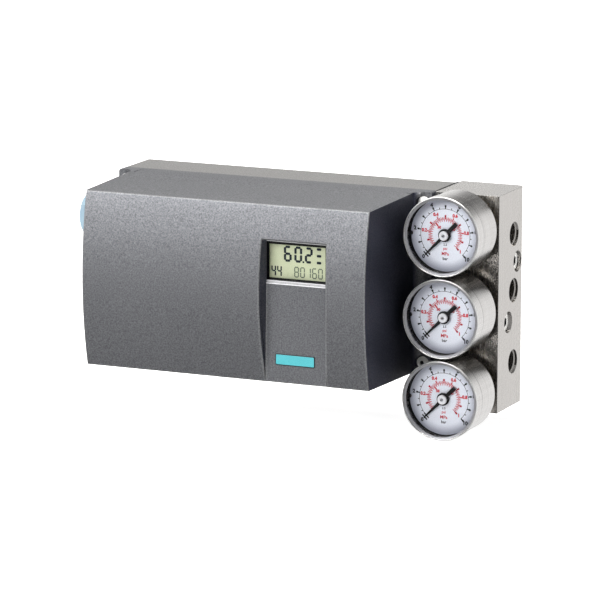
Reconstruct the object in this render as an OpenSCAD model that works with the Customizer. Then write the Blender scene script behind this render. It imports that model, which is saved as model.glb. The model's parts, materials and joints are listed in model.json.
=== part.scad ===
// Valve positioner with a three-gauge block on its right end.
// Origin: the feedback shaft's axis where it leaves the rear mounting face.
// +X is right seen from the front, +Y is the rear, +Z is up. Millimetres.

/* [Housing base] */
// Width of the housing base
base_w = 184.5; // [182:0.5:192]
// Height of the housing base
base_h = 98; // [97:0.5:106]
// Depth of the housing base, rear face to parting plane
base_d = 30; // [29:0.5:36]
// Thickness of the rear wall
floor_t = 5; // [4.5:0.1:6]
// Radius of the base's corners seen from the front
base_corner_r = 1.5; // [1:0.5:5]
// Radius of the upper and lower rear edges
rear_edge_r = 2; // [1:0.5:5]
// Depth of the shallow pocket in the rear face
rear_pocket = 1.5; // [0.5:0.1:2]
// Height of the sealing rim above and below the cavity
rim_h = 4; // [3.8:0.1:5]
// Spacing of the mounting threads across
mount_dx = 50; // [48:1:60]
// Spacing of the mounting threads up
mount_dz = 50; // [48:1:56]
// Radius of the mounting threads
mount_r = 3; // [2.5:0.5:3]

/* [Front cover] */
// Width of each ear beyond the cover's side
ear_w = 8.95; // [8:0.05:14]
// Height of the cover's front face
cover_h = 95; // [93:0.5:97]
// Depth from the parting plane to the front's upper edge
cover_d = 68; // [66:0.5:80]
// How far the front bows out at mid-height
front_bow = 5.8; // [4:0.1:7]
// Widening of each side from front to rear
cover_draft = 1.3; // [0.5:0.1:2]
// Wall thickness of the cover
cover_wall = 3; // [2.4:0.1:3.2]
// Depth of the ears that take the cover screws
ear_d = 7; // [5:0.5:10]
// Radius where each side runs into its ear
ear_fillet_r = 6; // [3:0.5:8]
// Radius of the cover screws
cover_screw_r = 2; // [1.5:0.1:2.2]

/* [Recessed panel] */
// Middle of the recess, in from the cover's right edge
recess_in = 41.4; // [40:0.1:46]
// Width of the recess
recess_w = 34.6; // [30:0.1:38]
// Upper end of the recess
recess_top = 29.3; // [25:0.1:31]
// Lower edge of the display window
window_bottom = 5.8; // [3:0.1:9]
// Slope of the recess's side walls, degrees
recess_slope = 17; // [5:1:20]
// Bevel on the window's lower edge
window_bevel = 1.8; // [0.5:0.1:2.2]

/* [Gauge block] */
// Width of the block
block_w = 36.2; // [34:0.1:44]
// Depth of the block
block_d = 37.5; // [34:0.5:42]
// Radius of the block's outer rear edge
block_edge_r = 4; // [2:0.5:6]
// How far the block's front lies behind the front of the ears
block_step = 4; // [2:0.5:6]
// Block below the lowest gauge's axis
block_below = 12; // [8:0.1:16]
// Gap between block and housing
block_gap = 0.5; // [0.3:0.1:1]
// Radius of the side ports
port_r = 6.58; // [6:0.01:6.8]
// Threaded depth of the side ports
port_depth = 13; // [11:0.5:15]
// Radius of the block's fixing screws
block_screw_r = 3; // [2.5:0.5:3]

/* [Gauges] */
// Outer radius of a gauge's case
case_r = 21.3; // [20:0.1:22.5]
// Length of a gauge's case
case_l = 27.8; // [25:0.1:31]
// Gap between neighbouring gauges
gauge_gap = 1.3; // [1:0.1:6]
// Height of the upper gauge's axis
gauge_top_z = 31.4; // [26:0.1:34]
// Gauge axis, right of the block's left face
gauge_in = 16.8; // [13:0.1:18]
// Gap between a cover screw's head and the plane of the gauges' backs
gauge_clear = 0.3; // [0.2:0.1:3]
// Depth of the dial behind the rim
dial_recess = 6.5; // [6:0.1:7.5]
// Length of the pointer's tip
pointer_tip = 13.5; // [10:0.1:15]
// Teeth on the pointer's pinion
pointer_teeth = 10; // [10:1:12]
// Teeth on the full circle of the sector
sector_teeth = 48; // [46:1:50]

/* [Cable entries] */
// Distance of each entry above and below the middle
entry_z = 18.5; // [17:0.5:24]
// Radius of the entry thread
entry_r = 10; // [9:0.1:10.5]
// Across flats of the gland's hexagons
gland_af = 24; // [22:0.5:26]
// How far the gland stands out of the wall
gland_out = 30.5; // [28:0.5:34]
// Radius of the hole for the cable
cable_r = 5; // [3:0.1:5.5]

/* [Feedback shaft] */
// Radius of the shaft's free end
shaft_r = 4; // [3.5:0.1:4.4]
// Length of the shaft's free end
shaft_out = 14.5; // [12:0.5:25]
// Radius of the shaft in its bushes
journal_r = 5; // [4.8:0.1:5.4]
// Teeth on the shaft gear
shaft_teeth = 48; // [44:2:48]
// Teeth on the potentiometer's pinion
pot_teeth = 16; // [15:1:18]
// Module of both gears
gear_module = 1; // [0.9:0.05:1]

/* [Hidden] */
$fn = 96;

// Clearances
free_gap = 0.3;
slip_gap = 0.1;
run_gap = 0.04;
cut = 1;

// Planes and half widths of the housing
part_y = -base_d;
front_y = -(base_d + cover_d);
floor_y = -floor_t;
ear_y = part_y - ear_d;
cover_hw = base_w / 2 - ear_w;
cover_w = 2 * (cover_hw - cover_draft);
cavity_hw = cover_hw - cover_wall - 0.5;
cavity_hh = base_h / 2 - rim_h;
bow_r = (pow(cover_h / 2, 2) + pow(front_bow, 2)) / (2 * front_bow);
cover_screw_x = (cover_hw + base_w / 2) / 2;
cover_screw_z = base_h / 2 - 5.7;
cover_screw_l = ear_d + 12;
cover_head_r = cover_screw_r * 1.65;
cover_head_h = 2.2;
scallop_gap = 0.7;
gasket_w = 2;
gasket_t = 1.6;
gasket_hw = cover_hw - 0.5;
gasket_hh = base_h / 2 - 0.5;

// Recessed panel, window and display, front to rear
recess_x = cover_w / 2 - recess_in;
panel_y = front_y + 0.3;
panel_back_y = panel_y + cover_wall;
window_y = panel_y + 0.6;
flange_t = 1.2;
flange_w = 2;
lcd_y = panel_back_y + flange_t + 0.6;
lcd_t = 2.4;
lid_y = lcd_y + lcd_t;
lid_t = 2;
tub_y = lid_y + lid_t;
board_y = tub_y + 4.5;
board_t = 1.6;
lcd_w = recess_w + 2;
lcd_h = recess_top - window_bottom + 2;
lcd_z = (recess_top + window_bottom) / 2;
button_r = 3.5;
button_z = window_bottom - 18;
button_dx = 11;
button_travel = 0.8;

// Rear bearing, gears and the plate in front of them
boss_h = 8;
bush_r = journal_r + 2;
bush_flange_t = 1.5;
bush_flange_r = bush_r + 2;
gear_y1 = floor_y - boss_h - bush_flange_t - 1.5;
gear_t = 4;
gear_y0 = gear_y1 - gear_t;
plate_y1 = gear_y0 - 3;
plate_t = 2;
plate_y0 = plate_y1 - plate_t;
// A flat on the free end of the shaft, for a lever's grub screw
shaft_flat_l = 5.8;
pot_x = -gear_module * (shaft_teeth + pot_teeth) / 2;
pot_body_r = 10.5;
pot_l = 14;
pot_spindle_r = 3;
gear_play = 0.14;
wheel_r = 8.5;
wheel_t = 10;
ridge_d = 0.6;
spring_t = 1.2;
spring_wall = 0.5;
shoulder_y = plate_y0 - bush_flange_t - 0.2;
spring_y = shoulder_y - spring_t;
wheel_y1 = spring_y - slip_gap;
wheel_y0 = wheel_y1 - wheel_t;
clip_t = 1.2;
clip_y = wheel_y0 - slip_gap - clip_t;
shaft_end_y = clip_y - 2;
stub_r = 4;

// Electronics module
mod_w = recess_w + 10;
mod_x0 = recess_x - mod_w / 2;
mod_x1 = recess_x + mod_w / 2;
mod_z0 = -(base_h / 2 - 8);
mod_z1 = lcd_z + lcd_h / 2 + 5;
mod_wall = 2;
mod_post_r = 3;

// Pneumatic manifold against the right end of the cavity
man_x1 = cavity_hw;
man_x0 = mod_x1 + free_gap;
man_y0 = part_y + 2;
man_hh = cavity_hh - 3;
man_mid = (man_x0 + man_x1) / 2;
valve_r = 6.5;
restrictor_r = 2.4;
man_screw_z = man_hh - 4;
restrictor_z = man_screw_z - 8;
valve_z = 13;

// Terminal strip beside the cable entries
strip_in = 7;
strip_w = 12;
strip_h = 15;
strip_margin = 9;

// Cable entries on the left end
entry_y = -base_d / 2 - 1;
wall_x = -base_w / 2;
gland_flange_t = 5;
gland_neck_r = entry_r - 1;
gland_tip_x = wall_x - gland_out;
nut_x1 = wall_x - gland_flange_t - 1;

// Block and its ports
block_x0 = base_w / 2 + block_gap;
block_x1 = block_x0 + block_w;
block_y0 = ear_y + block_step;
block_y1 = block_y0 + block_d;
block_top = base_h / 2;
port_y = -10.8;
port_z = [25.2, -5.4, -44.3];
transfer_z = [25.2, -5.4, -36.3];
transfer_r = 3.5;
seal_in_r = 4.6;
seal_out_r = 7;
groove_depth = 1.5;
block_screw_y = [-5.4, -18.1];
block_screw_z = [9.6, -21.5];
block_head_r = block_screw_r * 5 / 3;
block_head_h = block_screw_r * 2;
counterbore_r = block_head_r + 0.8;
counterbore_d = block_head_h + 2;
block_thread_l = 10;
drill_r = 2;

// Gauges. Local frame: z forwards out of the dial, y up, x right.
gauge_x = block_x0 + gauge_in;
gauge_pitch = 2 * case_r + gauge_gap;
function gauge_z(i) = gauge_top_z - i * gauge_pitch;
block_bottom = gauge_z(2) - block_below;
case_back_y = ear_y - cover_head_h - gauge_clear;
stem_l = block_y0 - case_back_y;
case_wall = 0.5;
case_step = 0.3;
bezel_l = 8.2;
seam_w = 0.5;
seam_d = 0.2;
case_in_r = case_r - case_step - case_wall;
lens_t = 1.6;
lens_front = case_l - 1;
lens_back = lens_front - lens_t;
lens_r = case_in_r - slip_gap;
rim_lip = 0.2;
dial_t = 0.6;
dial_z = case_l - dial_recess;
dial_r = case_in_r - 1.1;
socket_neck_r = 5.8;
socket_thread_r = 4.85;
socket_thread_l = 9;
stem_af = 14;
spindle_r = 0.7;
tooth_module = 0.3;
tooth_play = 0.07;
axis_gap = tooth_module * (pointer_teeth + sector_teeth) / 2;
sector_turn = 270 * pointer_teeth / sector_teeth;
tail_l = 3.6;
tail_pin_r = 0.5;
mesh_t = 1.5;
mv_front = dial_z - 2.4;
mv_t = 1;
mv_back = mv_front - 6.5;
mesh_z = mv_back + 2.4;
link_z = mv_back + mv_t + 0.2;
link_t = 0.5;
tube_r = 14;
tube_w = 2;
tube_h = 4.5;
tube_top = mv_back - 0.6;
tube_z = tube_top - tube_h / 2;
tube_tip_angle = 150;
pillar_r = 0.9;

// Boxes and cylinders by their ends
module box(x0, x1, y0, y1, z0, z1) {
    translate([x0, y0, z0]) cube([x1 - x0, y1 - y0, z1 - z0]);
}
module cyl_x(r, x0, x1, y, z) {
    translate([x0, y, z]) rotate([0, 90, 0]) cylinder(r = r, h = x1 - x0);
}
module cyl_y(r, y0, y1, x, z) {
    translate([x, y1, z]) rotate([90, 0, 0]) cylinder(r = r, h = y1 - y0);
}
module cyl_z(r, z0, z1, x, y) {
    translate([x, y, z0]) cylinder(r = r, h = z1 - z0);
}
// A hexagonal bar along X by its across flats
module hex_x(af, x0, x1, y, z) {
    translate([x0, y, z]) rotate([0, 90, 0]) cylinder(r = af / sqrt(3), h = x1 - x0, $fn = 6);
}
module hex_y(af, y0, y1, x, z) {
    translate([x, y1, z]) rotate([90, 0, 0]) cylinder(r = af / sqrt(3), h = y1 - y0, $fn = 6);
}
module round_rect(w, h, r) {
    square([w - 2 * r, h], center = true);
    square([w, h - 2 * r], center = true);
    for (x = [-1, 1], y = [-1, 1]) translate([x * (w / 2 - r), y * (h / 2 - r)]) circle(r = r);
}
// Extrudes an XZ outline along Y
module along_y(y0, y1) {
    translate([0, y1, 0]) rotate([90, 0, 0]) linear_extrude(height = y1 - y0) children();
}
// Extrudes a YZ outline along X
module along_x(x0, x1) {
    translate([x0, 0, 0]) rotate([90, 0, 90]) linear_extrude(height = x1 - x0) children();
}
// Four copies mirrored across the middle
module corners(x, z) {
    for (sx = [-1, 1], sz = [-1, 1]) translate([sx * x, 0, sz * z]) children();
}
// Slot with round ends between two points on the local x axis
module stadium(x0, x1, r) {
    translate([x0, -r]) square([x1 - x0, 2 * r]);
    translate([x0, 0]) circle(r = r);
    translate([x1, 0]) circle(r = r);
}

// Involute teeth, 20 degree pressure angle
pressure = 20;
function polar(r, a) = [r * cos(a), r * sin(a)];
function inv_at(rb, r) = let (t = sqrt(max(0, pow(r / rb, 2) - 1))) t * 180 / PI - atan(t);
function half_tooth(m, n, play, r) =
    let (rp = m * n / 2, rb = rp * cos(pressure))
    90 / n - play / (2 * rp) * 180 / PI + inv_at(rb, rp) - inv_at(rb, max(r, rb));
function flank_radii(m, n) =
    let (root = m * (n / 2 - 1.25), tip = m * (n / 2 + 0.95), from = max(root, m * n / 2 * cos(pressure)))
    concat([root], [for (i = [0:3]) from + (tip - from) * (i + 0.02) / 3.02]);
function tooth(m, n, play, k) =
    let (radii = flank_radii(m, n), last = len(radii) - 1)
    concat(
        [for (i = [0:last]) polar(radii[i], k * 360 / n - half_tooth(m, n, play, radii[i]))],
        [for (i = [last:-1:0]) polar(radii[i], k * 360 / n + half_tooth(m, n, play, radii[i]))]);
function gear_points(m, n, play) = [for (k = [0:n - 1]) each tooth(m, n, play, k)];

// Housing base
module base_body() {
    intersection() {
        along_y(part_y, 0) round_rect(base_w, base_h, base_corner_r);
        along_x(-base_w, base_w) {
            translate([part_y - cut, -base_h / 2]) square([base_d + cut - rear_edge_r, base_h]);
            translate([part_y - cut, -base_h / 2 + rear_edge_r])
                square([base_d + cut, base_h - 2 * rear_edge_r]);
            for (s = [-1, 1]) translate([-rear_edge_r, s * (base_h / 2 - rear_edge_r)]) circle(r = rear_edge_r);
        }
    }
}
module housing_base() {
    color("dimgray") difference() {
        union() {
            difference() {
                base_body();
                box(-cavity_hw, cavity_hw, part_y - cut, floor_y, -cavity_hh, cavity_hh);
                box(-cavity_hw + 3, cavity_hw - 3, -rear_pocket, cut, -cavity_hh + 3, cavity_hh - 3);
            }
            cyl_y(bush_r + 4, floor_y - boss_h, 0, 0, 0);
            corners(mount_dx / 2, mount_dz / 2) cyl_y(insert_r + 3, floor_y - insert_boss, 0, 0, 0);
            for (sz = [-1, 1]) box(-mount_dx / 2, mount_dx / 2, -rear_pocket - cut, 0,
                sz * mount_dz / 2 - rib_t / 2, sz * mount_dz / 2 + rib_t / 2);
        }
        cyl_y(bush_r + run_gap, floor_y - boss_h - cut, cut, 0, 0);
        corners(mount_dx / 2, mount_dz / 2) cyl_y(insert_r + run_gap, -insert_l, cut, 0, 0);
        corners(cover_screw_x, cover_screw_z) cyl_y(cover_screw_r + run_gap, part_y - cut, ear_y + cover_screw_l + cut, 0, 0);
        along_y(part_y - cut, part_y + gasket_t) gasket_outline(run_gap);
        for (s = [-1, 1]) cyl_x(entry_r + run_gap, wall_x - cut, -cavity_hw + cut, entry_y, s * entry_z);
        for (z = transfer_z) cyl_x(transfer_r, cavity_hw - cut, base_w / 2 + cut, port_y, z);
        for (i = [0, 1]) cyl_x(block_screw_r + run_gap, base_w / 2 - block_thread_l - cut, base_w / 2 + cut,
            block_screw_y[i], block_screw_z[i]);
        cyl_z(silencer_r + run_gap, -base_h / 2 - cut, -cavity_hh + cut, silencer_x, entry_y);
        for (p = plate_posts) cyl_y(1.5, floor_y - cut, floor_y + 3, p[0], p[1]);
    }
}
insert_r = mount_r + 1.5;
insert_l = 9;
insert_boss = 6;
rib_t = 3;
silencer_r = 6;
silencer_x = 30;
module gasket_outline(grow) {
    difference() {
        square([2 * (gasket_hw + grow), 2 * (gasket_hh + grow)], center = true);
        square([2 * (gasket_hw - gasket_w - grow), 2 * (gasket_hh - gasket_w - grow)], center = true);
    }
}
module cover_gasket() {
    color("black") along_y(part_y, part_y + gasket_t) gasket_outline(0);
}
module mount_inserts() {
    color("goldenrod") corners(mount_dx / 2, mount_dz / 2) difference() {
        cyl_y(insert_r, -insert_l, 0, 0, 0);
        cyl_y(mount_r, -insert_l - cut, cut, 0, 0);
    }
}

// Front cover: tapered box with a bowed front, ears at both ends and a recessed panel
module cover_shell(inset, rear) {
    far = front_y - 2 * front_bow;
    function half(w, grow, y) = w / 2 + grow * (y - front_y) / cover_d - inset;
    rise = (base_h - cover_h) / 2;
    intersection() {
        translate([0, 0, -base_h]) linear_extrude(height = 2 * base_h) polygon([
            [-half(cover_w, cover_draft, far), far], [half(cover_w, cover_draft, far), far],
            [half(cover_w, cover_draft, rear), rear], [-half(cover_w, cover_draft, rear), rear]]);
        along_x(-base_w, base_w) polygon([
            [far, -half(cover_h, rise, far)], [rear, -half(cover_h, rise, rear)],
            [rear, half(cover_h, rise, rear)], [far, half(cover_h, rise, far)]]);
        translate([-base_w, front_y - front_bow + bow_r, 0]) rotate([0, 90, 0])
            cylinder(r = bow_r - inset, h = 2 * base_w, $fn = 240);
    }
}
// One ear with the fillet that leads into the cover's side, on the right
module ear() {
    difference() {
        union() {
            box(cover_hw - cover_wall, base_w / 2, ear_y, part_y, -base_h / 2, base_h / 2);
            box(cover_hw - cover_wall, cover_hw + ear_fillet_r - 0.3, ear_y - ear_fillet_r, ear_y + cut, -base_h / 2, base_h / 2);
        }
        cyl_z(ear_fillet_r, -base_h, base_h, cover_hw + ear_fillet_r - 0.3, ear_y - ear_fillet_r);
    }
}
module front_cover() {
    recess_x0 = recess_x - recess_w / 2;
    recess_x1 = recess_x + recess_w / 2;
    recess_open = 3 * front_bow * tan(recess_slope);
    color("darkslategray") difference() {
        union() {
            cover_shell(0, part_y);
            intersection() {
                union() {
                    ear();
                    mirror([1, 0, 0]) ear();
                }
                along_y(front_y, part_y) round_rect(base_w, base_h, base_corner_r);
            }
        }
        difference() {
            cover_shell(cover_wall, part_y + cut);
            box(recess_x0 - cover_wall, recess_x1 + cover_wall, front_y - 2 * front_bow, panel_back_y,
                -base_h, recess_top + cover_wall);
        }
        translate([0, 0, -base_h]) linear_extrude(height = base_h + recess_top) polygon([
            [recess_x0, panel_y], [recess_x1, panel_y],
            [recess_x1 + recess_open, panel_y - 3 * front_bow], [recess_x0 - recess_open, panel_y - 3 * front_bow]]);
        box(recess_x0, recess_x1, panel_y - cut, panel_back_y + cut, window_bottom, recess_top);
        corners(cover_screw_x, cover_screw_z) {
            cyl_y(cover_screw_r + free_gap, ear_y - cut, part_y + cut, 0, 0);
            cyl_y(cover_head_r + scallop_gap, ear_y - 2 * ear_fillet_r, ear_y, 0, 0);
        }
    }
}
// Pan-head screws with a cross recess
module cover_screws() {
    rise = cover_head_h * 0.75;
    dome_in = (pow(cover_head_r, 2) - pow(rise, 2)) / (2 * rise) - cover_head_h * 0.25;
    color("silver") corners(cover_screw_x, cover_screw_z) difference() {
        union() {
            cyl_y(cover_head_r, ear_y - cover_head_h * 0.25, ear_y, 0, 0);
            intersection() {
                cyl_y(cover_head_r, ear_y - cover_head_h, ear_y, 0, 0);
                translate([0, ear_y + dome_in, 0]) sphere(r = cover_head_h + dome_in);
            }
            cyl_y(cover_screw_r, ear_y - cut, ear_y + cover_screw_l, 0, 0);
        }
        hex_y(cover_screw_r * 1.25, ear_y - cover_head_h - cut, ear_y - cover_head_h + 1.5, 0, 0);
    }
}
// Clear pane: a plug in the opening with a flange bonded behind the wall
module display_window() {
    plug_w = recess_w - 2 * slip_gap;
    bottom = window_bottom + slip_gap;
    top = recess_top - slip_gap;
    color("lightgray", 0.4) {
        along_x(recess_x - plug_w / 2, recess_x + plug_w / 2) polygon([
            [panel_back_y + flange_t, bottom], [panel_back_y + flange_t, top], [window_y, top],
            [window_y, bottom + window_bevel], [window_y + window_bevel, bottom]]);
        box(recess_x - recess_w / 2 - flange_w, recess_x + recess_w / 2 + flange_w, panel_back_y,
            panel_back_y + flange_t, window_bottom - flange_w, recess_top + flange_w);
    }
}
module lcd_glass() {
    color("darkseagreen") box(recess_x - lcd_w / 2, recess_x + lcd_w / 2, lcd_y, lid_y,
        lcd_z - lcd_h / 2, lcd_z + lcd_h / 2);
}
module lcd_frame() {
    color("black") translate([recess_x, 0, lcd_z]) along_y(lcd_y + 0.3, lid_y) difference() {
        square([lcd_w + 4, lcd_h + 4], center = true);
        square([lcd_w + 2 * slip_gap, lcd_h + 2 * slip_gap], center = true);
    }
}

// Electronics module: tub, lid, board and push buttons
module module_posts(r, y0, y1) {
    inset = mod_wall + mod_post_r - 0.5;
    for (x = [mod_x0 + inset, mod_x1 - inset], z = [mod_z0 + inset, mod_z1 - inset]) cyl_y(r, y0, y1, x, z);
}
module module_housing() {
    color("darkgray") {
        difference() {
            box(mod_x0, mod_x1, tub_y, plate_y0, mod_z0, mod_z1);
            box(mod_x0 + mod_wall, mod_x1 - mod_wall, tub_y - cut, plate_y0 - mod_wall, mod_z0 + mod_wall, mod_z1 - mod_wall);
        }
        module_posts(mod_post_r, board_y + board_t, plate_y0 - mod_wall / 2);
    }
}
module module_cover() {
    lip = 1.2;
    in = mod_wall + slip_gap;
    color("dimgray") difference() {
        union() {
            box(mod_x0, mod_x1, lid_y, tub_y, mod_z0, mod_z1);
            difference() {
                box(mod_x0 + in, mod_x1 - in, tub_y - cut, tub_y + 2, mod_z0 + in, mod_z1 - in);
                box(mod_x0 + in + lip, mod_x1 - in - lip, tub_y, tub_y + 2 + cut, mod_z0 + in + lip, mod_z1 - in - lip);
            }
        }
        for (i = [-1:1]) cyl_y(button_r + slip_gap, lid_y - cut, tub_y + cut, recess_x + i * button_dx, button_z);
    }
}
module main_board() {
    in = mod_wall + slip_gap;
    chip_t = 2;
    color("darkgreen") box(mod_x0 + in, mod_x1 - in, board_y, board_y + board_t, mod_z0 + in, mod_z1 - in);
    color("black") {
        for (i = [-1:1]) box(recess_x + i * button_dx - 3, recess_x + i * button_dx + 3,
            board_y - 1.4, board_y, button_z - 3, button_z + 3);
        for (z = [button_z - 18, button_z + 14]) box(recess_x - 7, recess_x + 7, board_y - chip_t, board_y, z - 5, z + 5);
    }
}
// The cap stands in the lid's hole; its collar stops behind the lid
module push_button(i) {
    x = recess_x + i * button_dx;
    nib_y = board_y - 1.4 - button_travel - 0.15;
    color("whitesmoke") {
        cyl_y(button_r, panel_back_y + 0.8, tub_y + 1, x, button_z);
        cyl_y(button_r + 1, tub_y + 0.15, tub_y + 1.15, x, button_z);
        cyl_y(1.5, tub_y + 1, nib_y, x, button_z);
    }
}
// Terminal strip with a screw hole and a wire hole for each pole
module terminal_strip() {
    poles = 8;
    half = cavity_hh - strip_margin;
    pitch = 2 * half / poles;
    x0 = -cavity_hw + strip_in;
    front = floor_y - strip_h;
    color("forestgreen") difference() {
        box(x0, x0 + strip_w, front, floor_y, -half, half);
        for (i = [0:poles - 1]) {
            z = -half + (i + 0.5) * pitch;
            cyl_y(pitch * 0.3, front - cut, front + strip_h / 3, x0 + strip_w * 0.6, z);
            box(x0 - cut, x0 + strip_w / 3, front + strip_h / 3, front + strip_h * 0.6, z - pitch * 0.2, z + pitch * 0.2);
        }
    }
}

// Mechanism: plate on posts, bushes, shaft, gear, clutch and potentiometer
plate_x0 = pot_x - pot_body_r - 4;
plate_x1 = mod_x1;
plate_hh = cavity_hh - 5;
post_r = 4;
plate_posts = [for (x = [plate_x0 + post_r, mod_x0 + 2, plate_x1 - post_r], s = [-1, 1]) [x, s * (plate_hh - post_r)]];
module mechanism_plate() {
    color("lightsteelblue") difference() {
        union() {
            box(plate_x0, plate_x1, plate_y0, plate_y1, -plate_hh, plate_hh);
            for (p = plate_posts) {
                cyl_y(post_r, plate_y1 - cut, floor_y, p[0], p[1]);
                cyl_y(1.5 - run_gap, floor_y - cut, floor_y + 2.5, p[0], p[1]);
            }
        }
        cyl_y(bush_r + run_gap, plate_y0 - cut, plate_y1 + cut, 0, 0);
        cyl_y(pot_spindle_r + 2 + run_gap, plate_y0 - cut, plate_y1 + cut, pot_x, 0);
        for (s = [-1, 1]) box(plate_x0 + 14, mod_x0 - 8, plate_y0 - cut, plate_y1 + cut,
            s * (plate_hh - 12) - 4, s * (plate_hh - 12) + 4);
    }
}
module flanged_bush(y0, y1, flange_y) {
    difference() {
        union() {
            cyl_y(bush_r, y0, y1, 0, 0);
            cyl_y(bush_flange_r, flange_y, flange_y + bush_flange_t, 0, 0);
        }
        cyl_y(journal_r + run_gap, min(y0, flange_y) - cut, y1 + cut, 0, 0);
    }
}
module shaft_bushes() {
    color("goldenrod") {
        flanged_bush(floor_y - boss_h, 0, floor_y - boss_h - bush_flange_t);
        flanged_bush(plate_y0, plate_y1, plate_y0 - bush_flange_t);
    }
}
module feedback_shaft() {
    chamfer = 0.5;
    color("silver") difference() {
        union() {
            cyl_y(journal_r, shoulder_y, 0, 0, 0);
            cyl_y(stub_r, shaft_end_y, shoulder_y + cut, 0, 0);
            cyl_y(shaft_r, -cut, shaft_out - chamfer, 0, 0);
            translate([0, shaft_out - chamfer, 0]) rotate([-90, 0, 0])
                cylinder(r1 = shaft_r, r2 = shaft_r - chamfer, h = chamfer);
        }
        difference() {
            cyl_y(stub_r + cut, clip_y - 0.05, clip_y + clip_t + 0.05, 0, 0);
            cyl_y(stub_r - 0.5, clip_y - cut, clip_y + clip_t + cut, 0, 0);
        }
        box(-shaft_r, shaft_r, shaft_out - shaft_flat_l, shaft_out + cut, shaft_r * 0.84, 2 * shaft_r);
    }
}
module shaft_gear() {
    color("gainsboro") along_y(gear_y0, gear_y1) difference() {
        polygon(gear_points(gear_module, shaft_teeth, gear_play));
        circle(r = (journal_r + 0.05) / cos(15), $fn = 12);
    }
}
// A conical spring washer that presses the wheel forwards
module clutch_spring() {
    color("silver") translate([0, shoulder_y, 0]) rotate([90, 0, 0]) rotate_extrude() polygon([
        [stub_r + slip_gap, 0], [journal_r + 0.5, 0], [wheel_r - 1, spring_t - spring_wall],
        [wheel_r - 1, spring_t], [journal_r + 0.5, spring_wall], [stub_r + slip_gap, spring_wall]]);
}
module clutch_wheel() {
    ridges = 24;
    color("gold") along_y(wheel_y0, wheel_y1) difference() {
        polygon([for (k = [0:2 * ridges - 1]) polar(wheel_r - (k % 2) * ridge_d, k * 180 / ridges)]);
        circle(r = stub_r + run_gap);
        for (k = [0:5]) rotate(k * 60) translate([wheel_r * 0.72, 0]) circle(r = wheel_r * 0.09);
    }
}
module shaft_clip() {
    color("dimgray") along_y(clip_y, clip_y + clip_t) difference() {
        circle(r = stub_r + 2.5);
        circle(r = stub_r - 0.4);
        translate([-1.5, 0]) square([3, stub_r * 2]);
    }
}
module potentiometer() {
    color("royalblue") difference() {
        union() {
            cyl_y(pot_body_r, plate_y0 - pot_l, plate_y0, pot_x, 0);
            cyl_y(pot_spindle_r + 2, plate_y0 - cut, plate_y1, pot_x, 0);
            box(pot_x - 4, pot_x + 4, plate_y0 - pot_l, plate_y0 - 3, -pot_body_r - 3, 0);
        }
        cyl_y(pot_spindle_r + run_gap, plate_y0 - pot_l + 2, plate_y1 + cut, pot_x, 0);
    }
}
module pot_pinion() {
    color("gainsboro") {
        cyl_y(pot_spindle_r, plate_y0 - pot_l + 2.3, gear_y1 + 1, pot_x, 0);
        translate([pot_x, 0, 0]) along_y(gear_y0, gear_y1) difference() {
            rotate(180 / pot_teeth) polygon(gear_points(gear_module, pot_teeth, gear_play));
            circle(r = (pot_spindle_r + 0.05) / cos(15), $fn = 12);
        }
    }
}

// Pneumatics inside the housing
module pneumatic_manifold() {
    color("silver") difference() {
        box(man_x0, man_x1, man_y0, floor_y, -man_hh, man_hh);
        for (z = transfer_z) cyl_x(transfer_r, man_mid, man_x1 + cut, port_y, z);
        for (s = [-1, 1]) {
            cyl_y(restrictor_r + run_gap, man_y0 - cut, man_y0 + 13, man_mid, s * restrictor_z);
            cyl_y(valve_r * 0.4, man_y0 - cut, port_y, man_mid, s * valve_z);
            cyl_y(2 + run_gap, man_y0 - cut, floor_y + cut, man_mid, s * man_screw_z);
        }
        box(man_x0 + 2.5, man_x0 + 5, man_y0 - cut, man_y0 + 10, -man_hh - cut, man_hh + cut);
    }
}
module manifold_screws() {
    color("silver") for (s = [-1, 1]) difference() {
        union() {
            cyl_y(2, man_y0 - cut, floor_y, man_mid, s * man_screw_z);
            cyl_y(3.5, man_y0 - 3, man_y0, man_mid, s * man_screw_z);
        }
        translate([man_mid, man_y0 - 1.5, s * man_screw_z]) rotate([90, 0, 0]) cylinder(r = 1.7, h = 3, $fn = 6);
    }
}
module pilot_valves() {
    color("dimgray") for (s = [-1, 1]) {
        cyl_y(valve_r, man_y0 - 12, man_y0, man_mid, s * valve_z);
        cyl_y(valve_r - 2, man_y0 - 14, man_y0 - 11, man_mid, s * valve_z);
    }
}
module restrictor(s) {
    color("goldenrod") difference() {
        union() {
            cyl_y(restrictor_r, man_y0 - cut, man_y0 + 12, man_mid, s * restrictor_z);
            cyl_y(restrictor_r + 1.2, man_y0 - 3, man_y0 - 0.1, man_mid, s * restrictor_z);
        }
        translate([man_mid, man_y0 - 3, s * restrictor_z]) cube([10, 2.4, 0.9], center = true);
    }
}
module exhaust_silencer() {
    color("darkgoldenrod") {
        cyl_z(silencer_r, -base_h / 2 - cut, -cavity_hh, silencer_x, entry_y);
        translate([silencer_x, entry_y, -base_h / 2 - 3]) cylinder(r = 8, h = 3, $fn = 6);
        translate([silencer_x, entry_y, 0]) rotate_extrude() polygon([
            [0, -base_h / 2 - 2], [6.5, -base_h / 2 - 2], [6.5, -base_h / 2 - 8], [4.5, -base_h / 2 - 10], [0, -base_h / 2 - 10]]);
    }
}

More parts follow.
